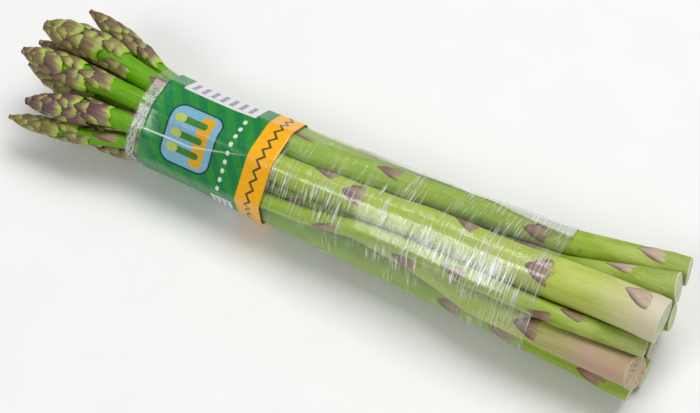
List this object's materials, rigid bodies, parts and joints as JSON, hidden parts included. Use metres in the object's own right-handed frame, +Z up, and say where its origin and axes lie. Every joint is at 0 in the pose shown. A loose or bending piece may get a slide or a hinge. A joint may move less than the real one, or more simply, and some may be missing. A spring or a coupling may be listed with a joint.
{
  "type": "asparagus bundle",
  "caption": "Bundle of green asparagus spears lying on its side, wrapped in clear film with a printed sleeve near the tips.",
  "frame": {"origin": "centre of the bounding box, at its base on the table", "axes": "+X along the bundle from the tips towards the cut ends, +Z up"},
  "size_m": [0.2636, 0.0556, 0.0508],
  "materials": {
    "stem": "satin",
    "film": "gloss",
    "label": "gloss"
  },
  "bodies": {
    "root": {"spear_01": "stem", "spear_02": "stem", "spear_03": "stem", "spear_04": "stem", "spear_05": "stem", "spear_06": "stem", "spear_07": "stem", "spear_08": "stem", "spear_09": "stem", "spear_10": "stem", "spear_11": "stem", "spear_12": "stem", "film": "film", "label": "label"}
  },
  "joints": []
}
